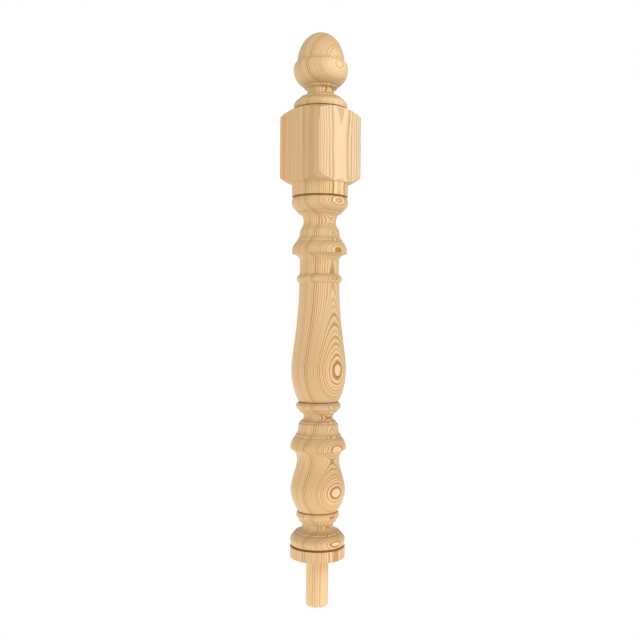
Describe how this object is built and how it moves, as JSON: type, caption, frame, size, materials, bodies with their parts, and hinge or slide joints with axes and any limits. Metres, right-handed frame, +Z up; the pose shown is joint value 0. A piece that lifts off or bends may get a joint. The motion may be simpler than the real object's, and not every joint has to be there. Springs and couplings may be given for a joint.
{
  "type": "newel post",
  "caption": "Turned pine newel post with an acorn finial, a square block for the rails, two vase turnings and a round spigot at its foot.",
  "frame": {"origin": "on the post's axis, in the plane of the seat where the base disc meets the newel base, at the root of the spigot", "axes": "+Z up along the post's axis, from the seat to the tip of the acorn. X and Y run square to the faces of the block"},
  "size_m": [0.09, 0.09, 0.8952],
  "materials": {
    "pine": "sanded and left clear, satin"
  },
  "bodies": {
    "root": {"newel_post": "pine"}
  },
  "joints": []
}
